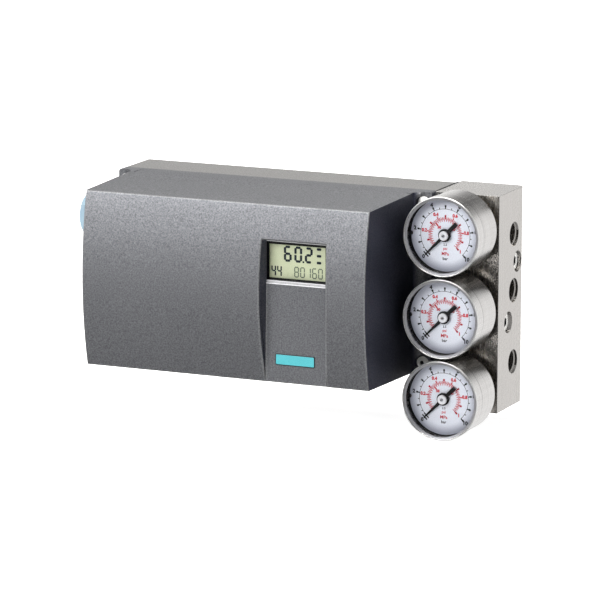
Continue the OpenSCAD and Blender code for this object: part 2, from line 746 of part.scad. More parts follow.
// Cable gland and the plug in the second entry
module gland_body() {
    color("lightblue") difference() {
        union() {
            cyl_x(entry_r, wall_x - cut, -cavity_hw + 4, entry_y, entry_z);
            hex_x(gland_af, wall_x - gland_flange_t, wall_x, entry_y, entry_z);
            cyl_x(gland_neck_r, wall_x - gland_flange_t - 8, wall_x - cut, entry_y, entry_z);
        }
        cyl_x(cable_r + 2, wall_x - gland_flange_t - 8 - cut, wall_x - gland_flange_t, entry_y, entry_z);
        cyl_x(cable_r + 0.5, wall_x - gland_out, -cavity_hw + 4 + cut, entry_y, entry_z);
    }
}
module gland_seal() {
    color("black") difference() {
        union() {
            cyl_x(cable_r + 2 - run_gap, wall_x - gland_flange_t - 8.5, wall_x - gland_flange_t, entry_y, entry_z);
            cyl_x(cable_r + 2.8, gland_tip_x + 4, wall_x - gland_flange_t - 8.2, entry_y, entry_z);
        }
        cyl_x(cable_r, gland_tip_x - cut, wall_x, entry_y, entry_z);
    }
}
// Hexagonal nut that narrows to a round nose
module gland_nut() {
    nose_r = cable_r + 1.5;
    length = nut_x1 - gland_tip_x;
    color("lightblue") difference() {
        intersection() {
            hex_x(gland_af, gland_tip_x, nut_x1, entry_y, entry_z);
            translate([gland_tip_x, entry_y, entry_z]) rotate([0, 90, 0]) rotate_extrude() polygon([
                [0, 0], [nose_r + 1.5, 0], [gland_af * 0.45, 1], [gland_af * 0.5, 2],
                [gland_af * 0.58, 3.6], [gland_af * 0.58, length], [0, length]]);
        }
        cyl_x(gland_neck_r + run_gap, wall_x - gland_flange_t - 8.2, nut_x1 + cut, entry_y, entry_z);
        cyl_x(cable_r + 2.8 + run_gap, gland_tip_x + 4, nut_x1, entry_y, entry_z);
        cyl_x(nose_r, gland_tip_x - cut, nut_x1, entry_y, entry_z);
    }
}
module blanking_plug() {
    color("dimgray") {
        cyl_x(entry_r, wall_x - cut, -cavity_hw + 2, entry_y, -entry_z);
        hex_x(gland_af, wall_x - 4, wall_x, entry_y, -entry_z);
    }
}

// Gauge block with a vertical drilling that joins each gauge, side port and housing port
module gauge_block() {
    color("lightgray") difference() {
        translate([0, 0, block_bottom]) linear_extrude(height = block_top - block_bottom) {
            translate([block_x0, block_y0]) square([block_w, block_d - block_edge_r]);
            translate([block_x0, block_y0]) square([block_w - block_edge_r, block_d]);
            translate([block_x1 - block_edge_r, block_y1 - block_edge_r]) circle(r = block_edge_r);
        }
        for (i = [0:2]) {
            low = min(gauge_z(i), port_z[i], transfer_z[i]);
            high = max(gauge_z(i), port_z[i], transfer_z[i]);
            cyl_x(port_r, block_x1 - port_depth, block_x1 + cut, port_y, port_z[i]);
            cyl_x(transfer_r, gauge_x, block_x1 - port_depth + cut, port_y, port_z[i]);
            cyl_x(transfer_r, block_x0 - cut, gauge_x, port_y, transfer_z[i]);
            cyl_x(seal_out_r + run_gap, block_x0 - cut, block_x0 + groove_depth, port_y, transfer_z[i]);
            cyl_y(socket_thread_r + run_gap, block_y0 - cut, block_y0 + socket_thread_l + cut, gauge_x, gauge_z(i));
            cyl_y(drill_r, block_y0, port_y + drill_r, gauge_x, gauge_z(i));
            cyl_z(drill_r, low - drill_r, high + drill_r, gauge_x, port_y);
        }
        for (i = [0, 1]) {
            cyl_x(block_screw_r + free_gap, block_x0 - cut, block_x1, block_screw_y[i], block_screw_z[i]);
            cyl_x(counterbore_r, block_x1 - counterbore_d, block_x1 + cut, block_screw_y[i], block_screw_z[i]);
        }
    }
}
module block_screws() {
    seat = block_x1 - counterbore_d;
    color("silver") for (i = [0, 1]) difference() {
        union() {
            cyl_x(block_screw_r, base_w / 2 - block_thread_l, seat + cut, block_screw_y[i], block_screw_z[i]);
            cyl_x(block_head_r, seat, seat + block_head_h, block_screw_y[i], block_screw_z[i]);
        }
        hex_x(block_screw_r * 5 / 3, seat + block_head_h / 2, seat + block_head_h + cut, block_screw_y[i], block_screw_z[i]);
    }
}
module port_seals() {
    color("black") for (z = transfer_z) difference() {
        cyl_x(seal_out_r, base_w / 2, block_x0 + groove_depth, port_y, z);
        cyl_x(seal_in_r, base_w / 2 - cut, block_x0 + groove_depth + cut, port_y, z);
    }
}

// Gauges
module at_gauge(i) {
    translate([gauge_x, case_back_y, gauge_z(i)]) rotate([90, 0, 0]) children();
}
module gauge_case(i) {
    bezel_z = case_l - bezel_l;
    color("silver") at_gauge(i) rotate_extrude() polygon([
        [socket_neck_r + run_gap, 0], [case_r - 1.6, 0], [case_r - case_step, 1.3],
        [case_r - case_step, bezel_z - seam_w], [case_r - case_step - seam_d, bezel_z - seam_w],
        [case_r - case_step - seam_d, bezel_z], [case_r - 0.2, bezel_z], [case_r, bezel_z + 0.2],
        [case_r, case_l - 0.5], [case_r - 0.1, case_l - 0.15], [case_r - 0.3, case_l], [case_in_r + 0.2, case_l],
        [case_in_r - rim_lip, case_l - 0.7], [case_in_r - rim_lip, lens_front + run_gap],
        [case_in_r, lens_front + run_gap], [case_in_r, lens_back], [case_in_r - rim_lip, lens_back],
        [case_in_r - rim_lip, lens_back - 0.4], [case_in_r, lens_back - 0.8], [case_in_r, case_wall],
        [socket_neck_r + run_gap, case_wall]]);
}
module gauge_lens(i) {
    color("white", 0.3) at_gauge(i) translate([0, 0, lens_back]) cylinder(r = lens_r, h = lens_t);
}
module gauge_dial(i) {
    color("white") at_gauge(i) translate([0, 0, dial_z - dial_t]) linear_extrude(height = dial_t) difference() {
        circle(r = dial_r);
        circle(r = spindle_r + 1);
        translate([-dial_r, 0]) circle(r = 1.1);
    }
}
// Socket with its hexagon and thread, the tube block and the C-shaped spring tube with its link
module gauge_tube(i) {
    start = -82;
    slot = tail_l * sin(sector_turn / 2) + tail_pin_r + 0.3;
    tail_x = -axis_gap - tail_l * (1 + cos(sector_turn / 2)) / 2;
    slot_r = tail_pin_r + tail_l * (1 - cos(sector_turn / 2)) / 2 + 0.2;
    tip = polar(tube_r, tube_tip_angle);
    color("peru") at_gauge(i) {
        difference() {
            union() {
                translate([0, 0, -stem_l - socket_thread_l]) cylinder(r = socket_thread_r, h = socket_thread_l + cut);
                translate([0, 0, -stem_l]) cylinder(r = stem_af / sqrt(3), h = stem_l, $fn = 6);
                translate([0, 0, -cut]) cylinder(r = socket_neck_r, h = case_wall + cut + 0.3);
                translate([-4, -tube_r - tube_w, case_wall + 0.2])
                    cube([8, tube_r + tube_w + 5, mv_back - case_wall - 0.2]);
                translate([0, 0, tube_z]) rotate(start) rotate_extrude(angle = tube_tip_angle - start)
                    translate([tube_r - tube_w / 2, -tube_h / 2]) square([tube_w, tube_h]);
                translate([tip[0], tip[1], tube_z]) cylinder(r = tube_w * 0.7, h = link_z - tube_z + cut / 4);
            }
            translate([0, 0, -stem_l - socket_thread_l - cut]) cylinder(r = drill_r * 0.6, h = stem_l + socket_thread_l + 4);
        }
        translate([0, 0, link_z]) linear_extrude(height = link_t) difference() {
            translate([tail_x - slot_r - 0.7, -slot - 0.8]) square([2 * slot_r + 1.4, tip[1] + 1.6 + slot + 0.8]);
            translate([tail_x - slot_r, -slot]) square([2 * slot_r, 2 * slot]);
            translate(tip) circle(r = tube_w * 0.7 + run_gap);
        }
    }
}
module gauge_movement(i) {
    far = -axis_gap - tail_l - 2.6;
    near = 4.2;
    color("gold") at_gauge(i) difference() {
        union() {
            for (z = [mv_back, mv_front - mv_t]) translate([0, 0, z]) linear_extrude(height = mv_t) stadium(far, near, 2.4);
            for (x = [far, near]) translate([x, 0, mv_back]) cylinder(r = pillar_r, h = dial_z - dial_t - mv_back);
        }
        for (x = [0, -axis_gap]) translate([x, 0, mv_back - cut]) cylinder(r = spindle_r + run_gap, h = dial_z);
    }
}
// Toothed sector on its arbor, with the tail pin that the link drives
module gauge_sector(i) {
    reach = ceil(sector_turn / 2 / (360 / sector_teeth)) + 2;
    color("gold") at_gauge(i) translate([-axis_gap, 0, 0]) rotate(-sector_turn / 2) {
        cylinder_z(spindle_r, mv_back + 0.1, mv_front - 0.1);
        translate([0, 0, mesh_z]) linear_extrude(height = mesh_t) difference() {
            union() {
                polygon(concat([[0, 0]], [for (k = [-reach:reach]) each tooth(tooth_module, sector_teeth, tooth_play, k)]));
                circle(r = 2, $fn = 12);
                translate([-tail_l - 0.9, -0.9]) square([tail_l + 0.9, 1.8]);
            }
            circle(r = (spindle_r + 0.03) / cos(15), $fn = 12);
        }
        translate([-tail_l, 0, link_z]) cylinder(r = tail_pin_r, h = mesh_z - link_z + 0.2);
    }
}
module cylinder_z(r, z0, z1) {
    translate([0, 0, z0]) cylinder(r = r, h = z1 - z0);
}
// Pointer at its zero, with hub, cap, arbor and pinion
module gauge_pointer(i) {
    hub_r = 3.4;
    tail = 9;
    blade_z = dial_z + 0.8;
    color("black") at_gauge(i) {
        rotate(225) translate([0, 0, blade_z]) linear_extrude(height = 0.5) polygon([
            [0, -0.8], [pointer_tip, -0.15], [pointer_tip, 0.15], [0, 0.8],
            [-hub_r, 0.9], [-tail, 0.9], [-tail, -0.9], [-hub_r, -0.9]]);
        cylinder_z(hub_r, blade_z - 0.2, blade_z + 0.9);
        cylinder_z(hub_r * 0.8, blade_z + 0.5, blade_z + 1.5);
        cylinder_z(spindle_r, mv_back + 0.1, blade_z);
        translate([0, 0, mesh_z - 0.2]) rotate(180 / pointer_teeth + 180 + 135) linear_extrude(height = mesh_t + 0.4) difference() {
            polygon(gear_points(tooth_module, pointer_teeth, tooth_play));
            circle(r = (spindle_r + 0.03) / cos(15), $fn = 12);
        }
    }
}

housing_base();
front_cover();
cover_gasket();
cover_screws();
display_window();
lcd_glass();
lcd_frame();
module_housing();
module_cover();
main_board();
push_button(-1);  // button_left
push_button(0);  // button_middle
push_button(1);  // button_right
terminal_strip();
mechanism_plate();
shaft_bushes();
feedback_shaft();
shaft_gear();
clutch_spring();
clutch_wheel();
shaft_clip();
potentiometer();
pot_pinion();
pneumatic_manifold();
manifold_screws();
pilot_valves();
restrictor(1);  // restrictor_upper
restrictor(-1);  // restrictor_lower
exhaust_silencer();
mount_inserts();
gland_body();
gland_nut();
gland_seal();
blanking_plug();
gauge_block();
block_screws();
port_seals();
gauge_case(0);  // upper_gauge_case
gauge_lens(0);  // upper_gauge_lens
gauge_dial(0);  // upper_gauge_dial
gauge_tube(0);  // upper_gauge_tube
gauge_movement(0);  // upper_gauge_movement
gauge_sector(0);  // upper_gauge_sector
gauge_pointer(0);  // upper_gauge_pointer
gauge_case(1);  // middle_gauge_case
gauge_lens(1);  // middle_gauge_lens
gauge_dial(1);  // middle_gauge_dial
gauge_tube(1);  // middle_gauge_tube
gauge_movement(1);  // middle_gauge_movement
gauge_sector(1);  // middle_gauge_sector
gauge_pointer(1);  // middle_gauge_pointer
gauge_case(2);  // lower_gauge_case
gauge_lens(2);  // lower_gauge_lens
gauge_dial(2);  // lower_gauge_dial
gauge_tube(2);  // lower_gauge_tube
gauge_movement(2);  // lower_gauge_movement
gauge_sector(2);  // lower_gauge_sector
gauge_pointer(2);  // lower_gauge_pointer
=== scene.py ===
"""Looks for a valve positioner with a steel block of three pressure gauges."""

import json
import math

import bmesh
import bpy
from mathutils import Matrix, Vector

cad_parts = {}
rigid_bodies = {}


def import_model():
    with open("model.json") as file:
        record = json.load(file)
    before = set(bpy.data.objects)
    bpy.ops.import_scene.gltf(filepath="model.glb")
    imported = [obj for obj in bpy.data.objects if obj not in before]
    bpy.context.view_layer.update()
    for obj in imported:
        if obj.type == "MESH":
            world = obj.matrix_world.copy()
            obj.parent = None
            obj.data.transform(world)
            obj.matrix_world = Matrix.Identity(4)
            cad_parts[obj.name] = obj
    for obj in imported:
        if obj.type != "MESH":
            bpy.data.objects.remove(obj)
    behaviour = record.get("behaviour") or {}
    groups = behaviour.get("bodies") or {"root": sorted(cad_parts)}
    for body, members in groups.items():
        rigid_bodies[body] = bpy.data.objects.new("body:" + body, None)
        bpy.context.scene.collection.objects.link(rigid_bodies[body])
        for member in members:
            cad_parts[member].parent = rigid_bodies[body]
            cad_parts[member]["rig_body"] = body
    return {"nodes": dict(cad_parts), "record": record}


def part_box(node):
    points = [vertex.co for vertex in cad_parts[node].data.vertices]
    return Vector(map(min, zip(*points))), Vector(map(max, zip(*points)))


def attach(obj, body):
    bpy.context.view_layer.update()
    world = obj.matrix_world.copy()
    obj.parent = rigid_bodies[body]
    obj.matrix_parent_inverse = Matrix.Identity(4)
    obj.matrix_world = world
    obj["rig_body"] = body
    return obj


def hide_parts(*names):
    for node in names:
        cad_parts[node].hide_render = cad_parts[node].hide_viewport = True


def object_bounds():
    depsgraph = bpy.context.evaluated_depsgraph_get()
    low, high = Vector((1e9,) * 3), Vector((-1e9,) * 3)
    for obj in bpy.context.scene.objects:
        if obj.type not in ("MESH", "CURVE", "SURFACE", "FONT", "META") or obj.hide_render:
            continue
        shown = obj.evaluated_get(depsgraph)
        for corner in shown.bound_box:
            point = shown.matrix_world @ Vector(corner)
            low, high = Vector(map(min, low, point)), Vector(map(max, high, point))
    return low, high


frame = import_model()
cad_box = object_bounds()
nodes = frame["nodes"]
slot_of = {part["node"]: part["material_slot"] for part in frame["record"]["subparts"]}

# Pieces are sized in millimetres, finishes and the studio in metres
MM = 0.001
GAUGES = ("upper", "middle", "lower")

# Places seen along an axis: the block's screws by y and z, the ports' depth and heights,
# and the cover's screws and the rear inserts by x and z
BLOCK_SCREWS = ((-5.4, 9.6), (-18.1, -21.5))
PORT_DEPTH = -10.8
PORT_HEIGHTS = (25.2, -5.4, -44.3)
COVER_SCREWS = [(x, z) for x in (-87.78, 87.78) for z in (-43.29, 43.29)]
INSERTS = [(x, z) for x in (-25.0, 25.0) for z in (-25.0, 25.0)]

# The bars that each figure of the display lights. The sign = stands for three bars
LIT_BARS = {"0": "abcdef", "1": "bc", "2": "abged", "4": "fgbc", "6": "afgedc", "8": "abcdefg", "=": "adg"}
BAR_THICK = 0.06

# The print on a dial: how far it stands proud, how thick it is, and the steps of an arc
PRINT_PROUD = 0.03
PRINT_THICK = 0.04
ARC_STEPS = 90

# A gauge needle by its length from the hub and its half width
NEEDLE = ((-9.3, -1.1), (0.0, -1.05), (14.6, -0.38), (14.6, 0.38), (0.0, 1.05), (-9.3, 1.1))

# Turned sections by radius and depth: the dark ring from the case's inside and the dial,
# the rim's bead and slope from the case's outside and lip, the hub's cap and boss from its front
CASE_WALL = 0.8
RING_FIT = 0.04
DIAL_RING = ((-1.3, 0.62), (-1.3, 0.85), (0.0, 0.85), (0.0, 0.1), (-0.15, 0.1), (-0.15, 0.62))
RIM_BEAD = ((-0.35, 0.9), (0.02, 0.9), (0.02, 0.4), (-0.12, 0.04), (-0.35, -0.08), (-0.6, 0.02), (-0.75, 0.3))
RIM_SLOPE = ((-0.6, 0.15), (-0.6, 0.95), (-1.95, 0.95), (-1.9, 0.85), (-1.2, 0.5))
HUB_CAP = ((0.01, -1.05), (2.05, -1.05), (2.4, -0.9), (2.55, -0.6), (2.55, 0.4), (0.01, 0.4))
HUB_BOSS = ((0.01, -1.12), (0.85, -1.12), (0.95, -1.04), (0.95, -0.9), (0.01, -0.9))
# A black disc in each cover screw's socket, a painted shade
SOCKET_SHADE_DISC = ((0.01, 1.0), (1.2, 1.0), (1.2, 1.48), (0.01, 1.48))
SQUARE = ((-1, -1), (1, -1), (1, 1), (-1, 1))

# The window's sill and its two painted highlight lines by y and z, from SILL_LEFT to SILL_RIGHT along x
SILL_LEFT = 23.3
SILL_RIGHT = 57.85
SILL = ((-97.72, 5.3), (-97.9, 5.36), (-97.9, 5.5), (-97.62, 5.8), (-97.3, 6.55), (-96.98, 6.98),
        (-96.7, 7.05), (-95.8, 6.2), (-95.8, 5.82), (-97.6, 5.82))
SILL_LOWER_HIGHLIGHT = ((-97.74, 5.28), (-97.96, 5.3), (-97.98, 5.5), (-97.84, 5.75), (-97.6, 5.75))
SILL_UPPER_HIGHLIGHT = ((-97.2, 6.6), (-97.26, 6.72), (-97.08, 7.0), (-96.8, 7.12), (-96.7, 6.9))

# Edges of a CAD node that are rounded turn by more than the first angle,
# and its faces are shaded as one up to the second
SHARP_ANGLE = math.radians(28.0)
SMOOTH_ANGLE = math.radians(34.0)

# Where a dial starts and ends to darken from its middle, and where the case's seam lies, in metres
DIAL_SHADE = (0.0140, 0.0185)
CASE_SEAM = -0.05885

# Where the photograph was taken from, and how long its lens was
CAMERA_AT = Vector((0.9535, -2.1643, 0.4479))
CAMERA_LOOK = Vector((-0.3955, 0.8974, -0.1954))
CAMERA_ROLL = math.radians(0.15)
CAMERA_LENS = 263.8
SENSOR = 36.0

# Soft lights: where each stands, where it points, its size, its power and its colour
WHITE = (1.0, 1.0, 1.0)
LIGHTS = {
    "key": ((-0.75, -1.43, 0.98), (0.0, -0.08, 0.0), (1.5, 1.0), 49.0, WHITE),
    "top": ((0.15, 0.2, 1.5), (0.0, 0.0, 0.0), (1.4, 1.0), 36.0, (1.0, 0.985, 0.955)),
    "fill": ((1.1, -1.1, 0.35), (0.09, -0.04, 0.0), (0.5, 0.5), 1.7, WHITE),
}
FLOOR_REACH = 9.0
FLOOR_GAP = 0.0002
FLOOR_GLOW = 0.84


# Shader maths


class Field:
    """A value that varies over a surface and can stand in a Python expression."""

    def __init__(self, finish, socket):
        self.finish = finish
        self.socket = socket

    def __add__(self, other):
        return self.finish.math("ADD", self, other)

    def __sub__(self, other):
        return self.finish.math("SUBTRACT", self, other)

    def __rsub__(self, other):
        return self.finish.math("SUBTRACT", other, self)

    def __mul__(self, other):
        return self.finish.math("MULTIPLY", self, other)

    def __truediv__(self, other):
        return self.finish.math("DIVIDE", self, other)

    def __pow__(self, other):
        return self.finish.math("POWER", self, other)

    def __lt__(self, other):
        return self.finish.math("LESS_THAN", self, other)

    def __abs__(self):
        return self.finish.math("ABSOLUTE", self, 0.0)

    __radd__ = __add__
    __rmul__ = __mul__


class Nodes:
    """A tree of shader nodes, with the few kinds of node that the finishes use."""

    def __init__(self, tree):
        self.tree = tree

    def feed(self, socket, value):
        if isinstance(value, Field):
            self.tree.links.new(value.socket, socket)
        else:
            socket.default_value = value

    def node(self, kind, settings=None, sockets=None, output=0):
        """Adds one node, its settings first and then its sockets, and gives the outputs named."""
        made = self.tree.nodes.new(kind)
        for key, value in (settings or {}).items():
            setattr(made, key, value)
        for key, value in (sockets or {}).items():
            self.feed(made.inputs[key], value)
        if isinstance(output, tuple):
            return [Field(self, made.outputs[name]) for name in output]
        return Field(self, made.outputs[output])

    def math(self, operation, first, second):
        return self.node("ShaderNodeMath", {"operation": operation}, {0: first, 1: second})

    def place(self):
        """Where a point lies in the part's frame, in metres."""
        return self.node("ShaderNodeTexCoord", output="Object")

    def parts(self, vector):
        return self.node("ShaderNodeSeparateXYZ", None, {0: vector}, ("X", "Y", "Z"))

    def facing(self):
        """Which way the surface faces, without its bumps."""
        return self.parts(self.node("ShaderNodeNewGeometry", output="True Normal"))

    def noise(self, vector, scale, detail=2.0, rough=0.5):
        sockets = {"Vector": vector, "Scale": scale, "Detail": detail, "Roughness": rough}
        return self.node("ShaderNodeTexNoise", None, sockets, "Fac")

    def drawn_out(self, vector, scale, detail=2.0, rough=0.5):
        """Noise drawn out to lines by a scale of its own along each axis."""
        stretched = self.node("ShaderNodeVectorMath", {"operation": "MULTIPLY"}, {0: vector, 1: scale})
        return self.noise(stretched, 1.0, detail, rough)

    def cells(self, vector, scale, output="Distance"):
        return self.node("ShaderNodeTexVoronoi", None, {"Vector": vector, "Scale": scale}, output)

    def between(self, value, low, high, low_out=0.0, high_out=1.0):
        sockets = {"Value": value, "From Min": low, "From Max": high, "To Min": low_out, "To Max": high_out}
        return self.node("ShaderNodeMapRange", None, sockets)

    def spread(self, noise, low=0.0, high=1.0):
        """Noise, which keeps mostly between 0.3 and 0.7, spread from low to high."""
        return self.between(noise, 0.3, 0.7, low, high)

    def mix(self, share, first, second):
        return self.node("ShaderNodeMix", {"data_type": "RGBA"}, {0: share, 6: first, 7: second}, 2)


class Finish(Nodes):
    """A surface finish made of nodes. Plain numbers are set on the shader's own sockets."""

    def __init__(self, name, **plain):
        self.material = bpy.data.materials.new(name)
        self.material.use_nodes = True
        super().__init__(self.material.node_tree)
        self.shader = self.tree.nodes["Principled BSDF"]
        self.surface = self.tree.nodes["Material Output"].inputs["Surface"]
        for socket, value in plain.items():
            self.feed(self.shader.inputs[socket.replace("_", " ")], value)

    def bump(self, height, distance, strength):
        sockets = {"Height": height, "Distance": distance, "Strength": strength}
        self.feed(self.shader.inputs["Normal"], self.node("ShaderNodeBump", None, sockets, "Normal"))

    def colour(self, value):
        self.feed(self.shader.inputs["Base Color"], value)

    def roughness(self, value):
        self.feed(self.shader.inputs["Roughness"], value)


# Finishes


def grey(value, warm=0.0):
    return (value * (1 + warm), value, value * (1 - warm), 1.0)


def toned(colour, share):
    """A colour made darker or lighter, with full cover."""
    return tuple(min(1.0, part * share) for part in colour) + (1.0,)


def flake_paint(name, dark, light, metal, rough, painted_side_shade=None):
    """Structured metallic paint: fine bright flakes in a darker ground, with a painted shade, dark and
    bluish, on the ends and recess walls.
    """
    look = Finish(name, Metallic=metal)
    at = look.place()
    flake = look.noise(at, 1350.0, 1.5, 0.6)
    sparkle = look.node("ShaderNodeRGBToBW", None, {0: look.cells(at, 1500.0, "Color")})
    cloud = look.noise(at, 22.0)
    lively = look.between(flake, 0.25, 0.75) * 0.75 + sparkle * 0.25
    paint = look.mix(lively * 0.9 + cloud * 0.1, dark, light)
    if painted_side_shade:
        # Painted shade: faces turned to the sides take the dark bluish shade colour, fully on the outer ends
        # and three quarters on faces nearer the middle, such as the recess walls
        outside = look.between(abs(look.parts(at)[0]), 0.0805, 0.0815, 0.75, 1.0)
        ends = look.between(abs(look.facing()[0]), 0.6, 0.9) * outside
        paint = look.mix(ends * look.between(flake, 0.2, 0.8, 1.0, 0.85), paint, painted_side_shade)
    look.colour(paint)
    look.roughness(look.spread(flake, rough + 0.05, rough - 0.05))
    look.bump(flake, 0.00007, 0.5)
    return look


def turned_steel(name, tone, rough, seam):
    """Steel turned about the rear-to-front axis: lines round it, a dark seam, and lines along it in its
    colour that are partly real marks and partly a painted reflection.
    """
    look = Finish(name, Metallic=1.0)
    at = look.place()
    lines = look.drawn_out(at, (25.0, 5200.0, 25.0), 2.0, 0.6)
    bands = look.drawn_out(at, (12.0, 420.0, 12.0), 1.0)
    streaks_and_sheen = look.drawn_out(at, (430.0, 14.0, 430.0), 2.0, 0.6)
    smudge = look.noise(at, 55.0, 3.0)
    clean = look.between(abs(look.parts(at)[1] - seam), 0.00035, 0.0008, 0.35, 1.0)
    # The lines along the axis in this colour mix are partly a painted reflection
    surface_pattern = lines * 0.35 + bands * 0.2 + streaks_and_sheen * 0.3 + smudge * 0.15
    steel = look.mix(look.spread(surface_pattern), grey(tone * 0.76, 0.03), grey(tone * 1.12, 0.02))
    look.colour(look.mix(clean, grey(0.16), steel))
    dull = lines * 0.4 + streaks_and_sheen * 0.3 + smudge * 0.3
    look.roughness(look.spread(dull, rough - 0.08, rough + 0.1))
    look.bump(lines * 0.7 + streaks_and_sheen * 0.3, 0.00002, 0.35)
    return look


def ground_steel(name, tone, rough):
    """A ground steel block: strokes run down the sides, with crossing scratches and dull patches."""
    look = Finish(name, Metallic=1.0)
    at = look.place()
    slanted = look.node("ShaderNodeVectorRotate", {"rotation_type": "AXIS_ANGLE"},
                        {"Vector": at, "Axis": (1.0, 1.0, 0.0), "Angle": 0.55})
    strokes = look.drawn_out(at, (1500.0, 1500.0, 28.0), 3.0, 0.65)
    scratches = look.drawn_out(slanted, (900.0, 900.0, 16.0), 2.0, 0.7)
    patch = look.noise(at, 60.0, 4.0, 0.6)
    surface_pattern = strokes * 0.45 + scratches * 0.35 + patch * 0.2
    calm = look.between(abs(look.facing()[0]), 0.5, 0.8, 1.0, 0.3)
    share = (look.between(surface_pattern, 0.4, 0.6) - 0.5) * calm + 0.5
    look.colour(look.mix(share, grey(tone * 0.66, 0.05), grey(tone * 1.16, 0.04)))
    look.roughness(look.spread(surface_pattern, rough - 0.08, rough + 0.12))
    look.bump((strokes * 0.6 + scratches * 0.4) * calm, 0.00004, 0.5)
    return look


def plated_metal(name, colour, rough, uneven=0.05, metal=1.0):
    """Small plated or plain metal parts: bright, with faint handling marks."""
    look = Finish(name, Metallic=metal)
    at = look.place()
    marks = look.noise(at, 700.0, 3.0, 0.6)
    stain = look.noise(at, 90.0)
    look.colour(look.mix(marks * 0.4 + stain * 0.6, toned(colour, 0.8), toned(colour, 1.0)))
    look.roughness(look.spread(marks, rough - uneven, rough + uneven))
    look.bump(marks, 0.00002, 0.3)
    return look


def moulded_plastic(name, colour, rough, grain=900.0, depth=0.00003):
    """Moulded plastic with a fine spark-eroded grain and slight unevenness of colour."""
    look = Finish(name)
    at = look.place()
    fine = look.noise(at, grain, 2.0, 0.55)
    flow = look.noise(at, 40.0)
    look.colour(look.mix(fine * 0.35 + flow * 0.65, toned(colour, 0.88), toned(colour, 1.08)))
    look.roughness(look.spread(fine, rough - 0.06, rough + 0.06))
    look.bump(fine, depth, 0.5)
    return look


def printed_ink(name, colour, rough=0.5):
    """Screen-printed ink, a little uneven in its cover."""
    look = Finish(name)
    cover = look.noise(look.place(), 2600.0)
    look.colour(look.mix(cover, toned(colour, 0.85), toned(colour, 1.15)))
    look.roughness(look.spread(cover, rough - 0.05, rough + 0.05))
    return look


def dial_enamel(name, inner, outer):
    """Dial enamel, in the rim's shade near its edge. The dials stand one above another at even steps."""
    top, below = [sum(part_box(gauge + "_gauge_dial"), Vector()) / 2 for gauge in GAUGES[:2]]
    step = top.z - below.z
    look = Finish(name)
    at = look.place()
    x, _, z = look.parts(at)
    across = x - top.x
    up = (look.math("FRACT", (z - top.z) / step + 10.5, 0.0) - 0.5) * step
    radius = (across * across + up * up) ** 0.5
    look.colour(look.mix(look.between(radius, *DIAL_SHADE), inner, outer))
    look.roughness(look.spread(look.noise(at, 2600.0), 0.38, 0.46))
    return look


def board_green(name):
    """A lacquered circuit board: tracks under green lacquer."""
    look = Finish(name, Coat_Weight=0.4)
    at = look.place()
    upright = look.node("ShaderNodeVectorRotate", {"rotation_type": "X_AXIS"},
                        {"Vector": at, "Angle": math.pi / 2})
    tracks = look.node("ShaderNodeTexBrick", {"offset": 0.5},
                       {"Vector": upright, "Scale": 240.0, "Mortar Size": 0.06}, "Fac")
    look.colour(look.mix(tracks, (0.012, 0.11, 0.045, 1.0), (0.03, 0.24, 0.09, 1.0)))
    look.roughness(look.spread(look.noise(at, 600.0), 0.28, 0.42))
    look.bump(tracks, 0.00004, 0.6)
    return look


def sintered_bronze(name):
    """Pressed bronze grains."""
    look = Finish(name, Metallic=1.0)
    grains = look.cells(look.place(), 2400.0)
    look.colour(look.mix(grains, (0.62, 0.42, 0.19, 1.0), (0.2, 0.12, 0.05, 1.0)))
    look.roughness(look.between(grains, 0.0, 0.6, 0.42, 0.65))
    look.bump(1.0 - grains, 0.00012, 0.8)
    return look


def clear_sheet(name, tint, side_shade_colour=None):
    """A clear pane: see-through with a sheen; where its sides meet the frame they may take a near-black
    colour, a painted shade.
    """
    look = Finish(name, Specular_IOR_Level=0.0)
    haze = look.noise(look.place(), 120.0)
    reflect = look.node("ShaderNodeBsdfGlossy", None, {"Color": grey(0.9), "Roughness": 0.04})
    through = look.node("ShaderNodeBsdfTransparent", None, {"Color": tint})
    share = look.node("ShaderNodeFresnel", None, {"IOR": 1.45}) * look.spread(haze, 0.8, 0.9)
    pane = look.node("ShaderNodeMixShader", None, {0: share, 1: through, 2: reflect})
    if side_shade_colour:
        look.colour(side_shade_colour)
        look.roughness(look.spread(haze, 0.3, 0.4))
        # Painted shade: the sides of the pane take the near-black colour
        sides = Field(look, look.shader.outputs[0])
        edge = abs(look.facing()[1]) < 0.5
        pane = look.node("ShaderNodeMixShader", None, {0: edge, 1: pane, 2: sides})
    look.feed(look.surface, pane)
    return look


